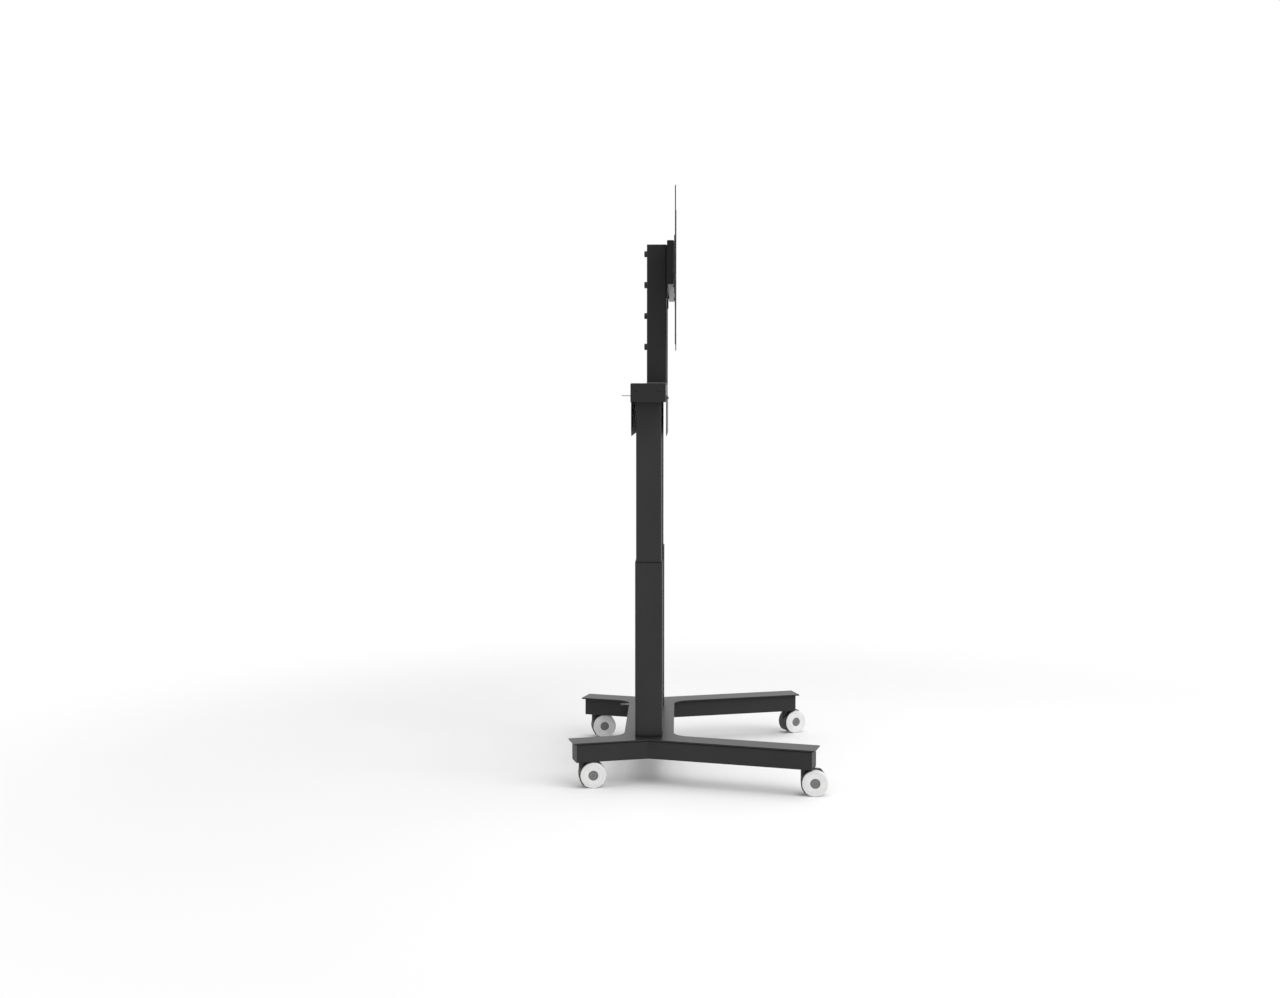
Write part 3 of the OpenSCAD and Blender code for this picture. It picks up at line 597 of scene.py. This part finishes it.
# %% Turn a hexagon bolt
BOLT_STEPS = 48
WASHER = 1.6 * MM           # thickness
WASHER_EDGE = 0.2 * MM
POINT_IN, POINT_UP = 0.6 * MM, 0.8 * MM     # the chamfer at the shank's end
COLLAR_SHARE, COLLAR = 0.96, 0.4 * MM       # the round collar below the hexagon
CHAMFER = 1.1 * MM          # from the hexagon's upper end to the top
TOP_EDGE = 0.35 * MM
HOLLOW = 0.3 * MM           # depth of the forging mark in the top
BOLT_TOP = ((0.97, TOP_EDGE), (0.90, 0), (0.55, 0), (0.5, HOLLOW), (0, HOLLOW))   # share, depth


def hexagon_head(name, flats, height, shank_radius, shank, washer_radius):
    """Without a washer its radius is 0; flats is the width across the flats."""
    half = flats / 2
    foot = WASHER if washer_radius else 0.0
    rings = [(0, -shank, 0), (shank_radius - POINT_IN, -shank, 0),
             (shank_radius, -shank + POINT_UP, 0), (shank_radius, 0, 0)]
    if washer_radius:
        inner = washer_radius - WASHER_EDGE
        rings += [(inner, 0, 0), (washer_radius, WASHER_EDGE, 0),
                  (washer_radius, foot - WASHER_EDGE, 0), (inner, foot, 0)]
    rings += [(COLLAR_SHARE * half, foot, 0), (COLLAR_SHARE * half, foot + COLLAR, 0),
              (half, foot + COLLAR, 6), (half, height - CHAMFER, 6)]
    rings += [(out * half, height - down, 0) for out, down in BOLT_TOP]
    return lathe(name, rings, BOLT_STEPS, FINISHES["black_oxide"])


print("a bolt's top is chamfered over", round(CHAMFER / MM, 1), "mm")


# %% Set the bolts of the uprights and of the columns
def set_bolts(node, body, label, axis, flats, height, shank_radius, washer_radius=0.0, seed=7):
    """Replaces a node of bolts; axis points from the shank to the head."""
    by_length = {}
    for low, high in solid_boxes(node):
        shank = round(extent(low, high, axis) - height, 5)
        by_length.setdefault(shank, []).append((seat_of(low, high, axis, height), axis))
    for length, spots in by_length.items():
        bolt = hexagon_head(label, flats, height, shank_radius, length, washer_radius)
        made = set_pieces("%s_%d" % (label, round(length / MM)), bolt, spots, seed=seed)
        stand_in(made, node, body)


back_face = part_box("upright_left")[1].y
bolt_end = max(high.y for _, high in solid_boxes("upright_bolts"))
set_bolts("upright_bolts", "carriage", "upright_bolts", Vector((0, 1, 0)), flats=17 * MM,
          height=bolt_end - back_face, shank_radius=5 * MM, washer_radius=9 * MM)
set_bolts("base_screws", "base", "column_bolts", Vector((0, 0, -1)), flats=13 * MM,
          height=5.3 * MM, shank_radius=4 * MM, seed=11)

# %% [markdown]
# ## Arm clamps
# Each arm is clamped to the rail by four low-headed screws, which pull two nut strips against the
# inside of the rail's slots. The heads show at the front, beside the arms. The screws are turned
# like the others, with a larger socket, and blackened. The strips are milled bars, so a box with
# a small bevel along every edge is all they need. The bevel is applied in the mesh, because a
# live modifier would have to be kept for so little.

# %% Make bars with bevelled edges
BAR_BEVEL = 0.6 * MM
BEVEL_SEGMENTS, BEVEL_PROFILE = 2, 0.7      # a profile of 0.5 is round, 1 is square


def bevelled_bars(name, boxes, material):
    mesh = bmesh.new()
    for low, high in boxes:
        place = Matrix.Translation((low + high) / 2) @ Matrix.Diagonal((*(high - low), 1))
        bmesh.ops.create_cube(mesh, size=1.0, matrix=place)
    bmesh.ops.bevel(mesh, geom=mesh.edges[:], offset=BAR_BEVEL, segments=BEVEL_SEGMENTS,
                    profile=BEVEL_PROFILE, affect="EDGES")
    data = bpy.data.meshes.new(name)
    mesh.to_mesh(data)
    mesh.free()
    data.materials.append(material)
    piece = bpy.data.objects.new(name, data)
    bpy.context.scene.collection.objects.link(piece)
    return piece


print("bars get a bevel of", round(BAR_BEVEL / MM, 1), "mm")

# %% Make the clamp screws and the nut strips
CLAMP_HEAD = 2.6 * MM
STRIP_LENGTH = 60 * MM      # a solid longer than this is a strip, not a screw


def dress_clamps(side):
    node, body = "arm_clamps_" + side, "arm_" + side
    boxes = solid_boxes(node)
    strips = [box for box in boxes if box[1].x - box[0].x > STRIP_LENGTH]
    screws = [box for box in boxes if box not in strips]
    forwards = Vector((0, -1, 0))
    shank = extent(*screws[0], forwards) - CLAMP_HEAD
    turned = button_head("clamp_screw", radius=7 * MM, height=CLAMP_HEAD, key=2.5 * MM,
                         shank_radius=3.7 * MM, shank=shank, material=FINISHES["black_oxide"])
    spots = [(seat_of(low, high, forwards, CLAMP_HEAD), forwards) for low, high in screws]
    heads = set_pieces("clamp_screws_" + side, turned, spots, seed=3)
    bars = bevelled_bars("nut_strips_" + side, strips, FINISHES["zinc"])
    stand_in(heads, node, body)
    stand_in(bars, node, body)


for arm_side in ("left", "right"):
    dress_clamps(arm_side)

# %% [markdown]
# ## Pins of the power inlet
# The recessed inlet at the back of the beam takes a three-pin plug. Inside stand three flat pins
# with rounded tips, the earth pin a little higher than the other two. They could be three boxes,
# but one blade that lies on the Z axis and is set three times by the node tree keeps them equal.

# %% Make one blade and set three
INLET_RIM, INLET_DEPTH = 2.5 * MM, 17 * MM
PIN_WIDTH, PIN_HEIGHT, PIN_LENGTH = 2 * MM, 4 * MM, 14 * MM
PIN_PITCH, PIN_STAGGER = 7 * MM, 2 * MM


def set_inlet_pins():
    inlet_low, inlet_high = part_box("power_inlet")
    middle = (inlet_low + inlet_high) / 2
    floor_y = inlet_high.y - INLET_RIM - INLET_DEPTH
    half_pin = Vector((PIN_WIDTH / 2, PIN_HEIGHT / 2, 0))
    blade_box = (-half_pin, half_pin + Vector((0, 0, PIN_LENGTH)))
    blade = bevelled_bars("inlet_blade", [blade_box], FINISHES["zinc"])
    spots = []
    for step in (-1, 0, 1):
        rise = PIN_STAGGER if step == 0 else -PIN_STAGGER
        spot = Vector((middle.x + step * PIN_PITCH, floor_y, middle.z + rise))
        spots.append((spot, Vector((0, 1, 0))))
    pins = set_pieces("inlet_pins", blade.data, spots, spin=0.0)
    bpy.data.objects.remove(blade)
    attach(pins, "carriage")


set_inlet_pins()

# %% [markdown]
# ## Weld beads
# The cross tube is welded between the two feet, and each upright to its foot plate. The powder
# coat goes over the beads. A plain round tube along the joint would look like a cord, because a
# real bead is a row of overlapping drops, laid one after the other. The path of each bead is a
# line of points along the joint, read from the boxes of the pieces, and a second node tree lays a
# drop every millimetre and a half along it, each a little larger or smaller.

# %% Build the tree that lays a bead
DROP_SEGMENTS, DROP_RINGS = 8, 6


def make_bead_tree():
    tree = bpy.data.node_groups.new("lay_weld_bead", "GeometryNodeTree")
    sockets = name_sockets(tree, (("Path", "Geometry", "INPUT"), ("Drop Spacing", "Float", "INPUT"),
                                  ("Drop Radius", "Float", "INPUT"),
                                  ("Unevenness", "Float", "INPUT"), ("Seed", "Int", "INPUT"),
                                  ("Finish", "Material", "INPUT"), ("Bead", "Geometry", "OUTPUT")))
    given = geometry_node(tree, "NodeGroupInput").outputs
    result = geometry_node(tree, "NodeGroupOutput").inputs
    line = geometry_node(tree, "GeometryNodeMeshToCurve")
    even = geometry_node(tree, "GeometryNodeResampleCurve", mode="LENGTH")
    drop = geometry_node(tree, "GeometryNodeMeshUVSphere")
    drop.inputs["Segments"].default_value = DROP_SEGMENTS
    drop.inputs["Rings"].default_value = DROP_RINGS
    place = geometry_node(tree, "GeometryNodeInstanceOnPoints")
    size = geometry_node(tree, "FunctionNodeRandomValue", data_type="FLOAT")
    size.inputs[RANDOM_MAX].default_value = 1.0
    real = geometry_node(tree, "GeometryNodeRealizeInstances")
    soft = geometry_node(tree, "GeometryNodeSetShadeSmooth")
    coat = geometry_node(tree, "GeometryNodeSetMaterial")
    link = tree.links.new
    link(given["Path"], line.inputs["Mesh"])
    link(line.outputs["Curve"], even.inputs["Curve"])
    link(given["Drop Spacing"], even.inputs["Length"])
    link(given["Drop Radius"], drop.inputs["Radius"])
    link(even.outputs["Curve"], place.inputs["Points"])
    link(drop.outputs["Mesh"], place.inputs["Instance"])
    link(given["Unevenness"], size.inputs[RANDOM_MIN])
    link(given["Seed"], size.inputs["Seed"])
    link(size.outputs[RANDOM_VALUE], place.inputs["Scale"])
    link(place.outputs["Instances"], real.inputs["Geometry"])
    link(real.outputs["Geometry"], soft.inputs["Geometry"])
    link(soft.outputs["Geometry"], coat.inputs["Geometry"])
    link(given["Finish"], coat.inputs["Material"])
    link(coat.outputs["Geometry"], result["Bead"])
    return tree, sockets


BEAD, BEAD_SOCKETS = make_bead_tree()
print("nodes in the tree that lays a bead:", len(BEAD.nodes))

# %% Trace the joints
CORNER = 5 * MM             # outer radius of the tubes' corners
MIDDLE_BAND = 2 * MM        # how near the middle plane the bend of a foot is looked for


def cross_tube_joint(side):
    """Down the cross tube's front face, along the mitre below it, and up its rear face."""
    low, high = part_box("cross_tube")
    middle = (low + high) / 2
    end_x = high.x if side > 0 else low.x
    inner = [v.co.x for v in frame["nodes"]["cross_tube"].data.vertices
             if abs(v.co.y - middle.y) < MIDDLE_BAND and (v.co.x - middle.x) * side > 0]
    bend_x = max(inner, key=lambda x: abs(x - middle.x))
    return [Vector((end_x, low.y, high.z - CORNER)), Vector((end_x, low.y, low.z + CORNER)),
            Vector((end_x, low.y + CORNER, low.z)), Vector((bend_x, middle.y, low.z)),
            Vector((end_x, high.y - CORNER, low.z)), Vector((end_x, high.y, low.z + CORNER)),
            Vector((end_x, high.y, high.z - CORNER))]


def upright_joints(node):
    """Along the left and the right side of an upright, on its foot plate."""
    low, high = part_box(node)
    return [[Vector((x, low.y + CORNER, low.z)), Vector((x, high.y - CORNER, low.z))]
            for x in (low.x, high.x)]


foot_joints = [cross_tube_joint(side) for side in (-1, 1)]
plate_joints = upright_joints("upright_left") + upright_joints("upright_right")
print("joints to weld:", len(foot_joints) + len(plate_joints))

# %% Lay the beads
BEAD_RADIUS = 2.2 * MM
DROP_SPACING = 1.5 * MM
SMALLEST_DROP = 0.86        # of the bead's radius


def lay_beads(name, paths, body, slot):
    points, edges = [], []
    for path in paths:
        edges += [(len(points) + i, len(points) + i + 1) for i in range(len(path) - 1)]
        points += path
    data = bpy.data.meshes.new(name + "_paths")
    data.from_pydata([tuple(point) for point in points], edges, [])
    values = {"Drop Spacing": DROP_SPACING, "Drop Radius": BEAD_RADIUS,
              "Unevenness": SMALLEST_DROP, "Seed": 5, "Finish": FINISHES[slot]}
    piece = grow(name, data, BEAD, BEAD_SOCKETS, values)
    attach(piece, body)
    print(name, "has", len(piece.data.polygons), "faces")


lay_beads("foot_welds", foot_joints, "base", "frame")
# The beads on the uprights take the upright coat, with its painted shade.
lay_beads("upright_welds", plate_joints, "carriage", "upright")

# %% [markdown]
# ## The caster wheels
# Each caster has two discs on one axle. The tyre has round shoulders and a shallow ring groove on
# its face, and the grey cap sits in a recess, with a dished face and a small boss in the middle.
# The model's own discs could be bevelled, but a groove and a dish need new rings of faces, so both
# pieces are turned anew. Radius, width and gap are measured on the model's wheels, along the axle
# that the joint names, so the new pieces fill the same space.

# %% Measure a wheel along its axle
def measure(node_name, point, axis):
    """Largest radius round an axis, and the nearest and farthest distance along it."""
    reach, near, far = 0.0, math.inf, 0.0
    for vert in frame["nodes"][node_name].data.vertices:
        offset = vert.co - point
        depth = offset.dot(axis)
        reach = max(reach, (offset - depth * axis).length)
        near = min(near, abs(depth))
        far = max(far, abs(depth))
    return reach, near, far


JOINTS = {joint["name"]: joint for joint in frame["joints"]}
print("joints of the stand:", len(JOINTS))

# %% Profile of a tyre
RECESS = 3 * MM             # depth of the cap's seat
SHOULDER = 3 * MM           # radius of a tyre's round shoulders
GROOVE = 0.6 * MM           # radius of the ring groove
GROOVE_INSET = 7.8 * MM     # from the tread to the groove
SEAT_GAP = 0.2 * MM         # round the cap
SEAT_LIP = 0.5 * MM         # radius of the seat's outer edge
ROUND_STEPS, LIP_STEPS = 6, 4


def arc(centre_r, centre_h, radius, start, end, count):
    """Points of a round corner in the lathe's plane, angles in degrees from outwards."""
    found = []
    for step in range(count + 1):
        angle = math.radians(start + (end - start) * step / count)
        found.append((centre_r + radius * math.cos(angle), centre_h + radius * math.sin(angle), 0))
    return found


def tyre_rings(radius, width, cap_radius, bore):
    seat = cap_radius + SEAT_GAP
    rings = [(bore, 0, 0)]
    rings += arc(radius - SHOULDER, SHOULDER, SHOULDER, -90, 0, ROUND_STEPS)
    rings += arc(radius - SHOULDER, width - SHOULDER, SHOULDER, 0, 90, ROUND_STEPS)
    rings += arc(radius - GROOVE_INSET, width, GROOVE, 0, -180, ROUND_STEPS)
    rings += arc(seat + SEAT_LIP, width - SEAT_LIP, SEAT_LIP, 90, 180, LIP_STEPS)
    rings += [(seat, width - RECESS, 0), (bore, width - RECESS, 0), (bore, 0, 0)]
    return rings


print("the ring groove is", round(2 * GROOVE / MM, 1), "mm wide")

# %% Profile of a hub cap
CAP_WALL = 0.8 * MM         # straight wall at the foot of the cap
CAP_BEVEL = 1.8 * MM        # the cap's edge slopes down into a dark ring round it
RIM_ROUND = 0.6 * MM
RIM_WIDTH = 0.8 * MM
DISH, DISH_SLOPE = 0.8 * MM, 0.4 * MM       # depth of the dish, and how wide its wall leans
BOSS, BOSS_EDGE = 3.2 * MM, 0.3 * MM        # radius of the boss in the middle
DIMPLE, DIMPLE_LEAN = 1.8 * MM, 0.2 * MM    # radius and depth of the hole in the boss


def cap_rings(radius, width):
    low, bottom = width - RECESS, width - DISH
    rim = radius - CAP_BEVEL
    rings = [(0, low, 0), (radius, low, 0), (radius, low + CAP_WALL, 0)]
    rings += arc(rim, width - RIM_ROUND, RIM_ROUND, 30, 90, LIP_STEPS)
    rings += [(rim - RIM_WIDTH, width, 0), (rim - RIM_WIDTH - DISH_SLOPE, bottom, 0),
              (BOSS + DISH_SLOPE, bottom, 0), (BOSS, width - BOSS_EDGE, 0),
              (BOSS - BOSS_EDGE, width, 0), (DIMPLE, width, 0),
              (DIMPLE - DIMPLE_LEAN, width - DIMPLE, 0), (0, width - DIMPLE, 0)]
    return rings


print("the boss of a hub cap is", round(2 * BOSS / MM, 1), "mm across")

# %% Dress the four casters
TYRE_STEPS, CAP_STEPS = 96, 48


def dress_caster(name):
    roll = JOINTS[name + "_roll"]
    point, axis = Vector(roll["pos_m"]), Vector(roll["axis"]).normalized()
    radius, near, far = measure(name + "_wheels", point, axis)
    cap_radius = measure(name + "_hub_caps", point, axis)[0]
    bore = measure(name + "_axle", point, axis)[0]
    width = far - near
    tyre = lathe("tyre", tyre_rings(radius, width, cap_radius, bore), TYRE_STEPS,
                 FINISHES["wheel"])
    cap = lathe("cap", cap_rings(cap_radius, width), CAP_STEPS, FINISHES["hub"])
    spots = [(point + side * near * axis, side * axis) for side in (-1, 1)]
    for label, turned, slot in (("wheels", tyre, "wheel"), ("hub_caps", cap, "hub")):
        piece = set_pieces(name + "_turned_" + label, turned, spots, spin=0.0)
        stand_in(piece, name + "_" + label, name + "_rollers")


for caster in ("front_left", "front_right", "rear_left", "rear_right"):
    dress_caster(caster)

# %% [markdown]
# ## Floor and background
# The floor is a pale, matt sheet that keeps the soft shadow of the stand. A curved backdrop could
# hide the horizon, but its bend shows as a grey band from some sides. Instead the sheet fades into
# plain white far from the stand. Only rays that come from the camera or a mirror image see that
# white, so it adds no light of its own.

# %% Floor that fades into the background
FLOOR_SIZE = 14.0
FLOOR_TONE, FLOOR_SPECKLE, SPECKLE_SCALE = 0.91, 0.004, 3.0
FLOOR_ROUGHNESS, FLOOR_GLOSS = 0.8, 0.1
FADE_START, FADE_END = 0.9, 2.8


def seen_directly(tree):
    """1 for rays from the camera, a reflection or a refraction."""
    path = shader_node(tree, "ShaderNodeLightPath")
    total = path.outputs["Is Camera Ray"]
    for label in ("Is Glossy Ray", "Is Transmission Ray"):
        add = shader_node(tree, "ShaderNodeMath", operation="MAXIMUM")
        tree.links.new(total, add.inputs[0])
        tree.links.new(path.outputs[label], add.inputs[1])
        total = add.outputs[0]
    return total


def fade_share(tree, coords):
    """0 near the stand and 1 far from it, and only where the floor is seen directly."""
    distance = shader_node(tree, "ShaderNodeVectorMath", operation="LENGTH")
    tree.links.new(coords, distance.inputs[0])
    fade = shader_node(tree, "ShaderNodeMapRange", {"From Min": FADE_START, "From Max": FADE_END},
                       interpolation_type="SMOOTHERSTEP")
    tree.links.new(distance.outputs["Value"], fade.inputs["Value"])
    both = shader_node(tree, "ShaderNodeMath", operation="MULTIPLY")
    tree.links.new(fade.outputs["Result"], both.inputs[0])
    tree.links.new(seen_directly(tree), both.inputs[1])
    return both.outputs[0]


def make_floor():
    bpy.ops.mesh.primitive_plane_add(size=FLOOR_SIZE)
    floor = bpy.context.object
    floor.name = "floor"
    material, tree, shader, coords = new_finish("studio_floor")
    speckle = spread(tree, noise(tree, coords, SPECKLE_SCALE), 0.0, 1.0)
    colours = tone(tree, speckle, [FLOOR_TONE] * 3, FLOOR_SPECKLE)
    tree.links.new(colours, shader.inputs["Base Color"])
    shader.inputs["Roughness"].default_value = FLOOR_ROUGHNESS
    shader.inputs["Specular IOR Level"].default_value = FLOOR_GLOSS
    white = shader_node(tree, "ShaderNodeEmission", {"Color": (1, 1, 1, 1), "Strength": 1.0})
    mix = shader_node(tree, "ShaderNodeMixShader")
    tree.links.new(fade_share(tree, coords), mix.inputs["Fac"])
    tree.links.new(shader.outputs["BSDF"], mix.inputs[1])
    tree.links.new(white.outputs["Emission"], mix.inputs[2])
    tree.links.new(mix.outputs["Shader"], tree.nodes["Material Output"].inputs["Surface"])
    floor.data.materials.append(material)
    floor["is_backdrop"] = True


make_floor()
print("the floor fades from", FADE_START, "to", FADE_END, "m")

# %% [markdown]
# ## Light
# The photograph has soft, even studio light with a gentle shadow under the base. An image of a
# studio could light the scene, but four lamps and an even sky do it without a file, and each can
# be tuned alone. A key lamp stands high at the front left, one hangs overhead, a lower one stands
# in front and a faint one behind. Mirror images see plain white, which the glossy coats need.

# %% Sky
SKY_STRENGTH = 0.63         # what lights the stand; the camera and mirror images see full white


def make_sky():
    world = bpy.data.worlds.new("studio")
    world.use_nodes = True
    tree = world.node_tree
    sky = tree.nodes["Background"]
    sky.inputs["Color"].default_value = (1, 1, 1, 1)
    strength = shader_node(tree, "ShaderNodeMapRange", {"To Min": SKY_STRENGTH, "To Max": 1.0})
    tree.links.new(seen_directly(tree), strength.inputs["Value"])
    tree.links.new(strength.outputs["Result"], sky.inputs["Strength"])
    bpy.context.scene.world = world


make_sky()
print("the sky lights the stand with", SKY_STRENGTH)

# %% Soft lamps
SOFT_LAMPS = {
    # name: place, point it aims at, width in metres, watts
    "key_softbox": ((-3.0, -1.8, 3.7), (0.0, 0.0, 0.4), 2.4, 45),
    "overhead_softbox": ((0.0, -0.2, 4.2), (0.0, 0.0, 0.0), 3.6, 62),
    "front_softbox": ((-1.6, -3.9, 2.2), (0.0, 0.0, 0.7), 2.2, 48),
    "rear_softbox": ((0.2, 4.2, 2.2), (0.0, 0.0, 0.9), 2.6, 6),
}


def soft_lamp(name, place, aim, width, power):
    lamp = bpy.data.objects.new(name, bpy.data.lights.new(name, "AREA"))
    bpy.context.scene.collection.objects.link(lamp)
    lamp.location = place
    lamp.rotation_euler = (Vector(aim) - Vector(place)).to_track_quat("-Z", "Y").to_euler()
    lamp.data.shape = "SQUARE"
    lamp.data.size = width
    lamp.data.energy = power


for lamp_name, lamp_values in SOFT_LAMPS.items():
    soft_lamp(lamp_name, *lamp_values)
bpy.context.scene.view_settings.view_transform = "Standard"
print("lamps:", len(SOFT_LAMPS))

# %% [markdown]
# ## The dressed stand's box
# The dressed stand must not be larger than the engineering model. Here the box of the dressed
# stand is measured.

# %% Measure the dressed stand's box
low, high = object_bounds()
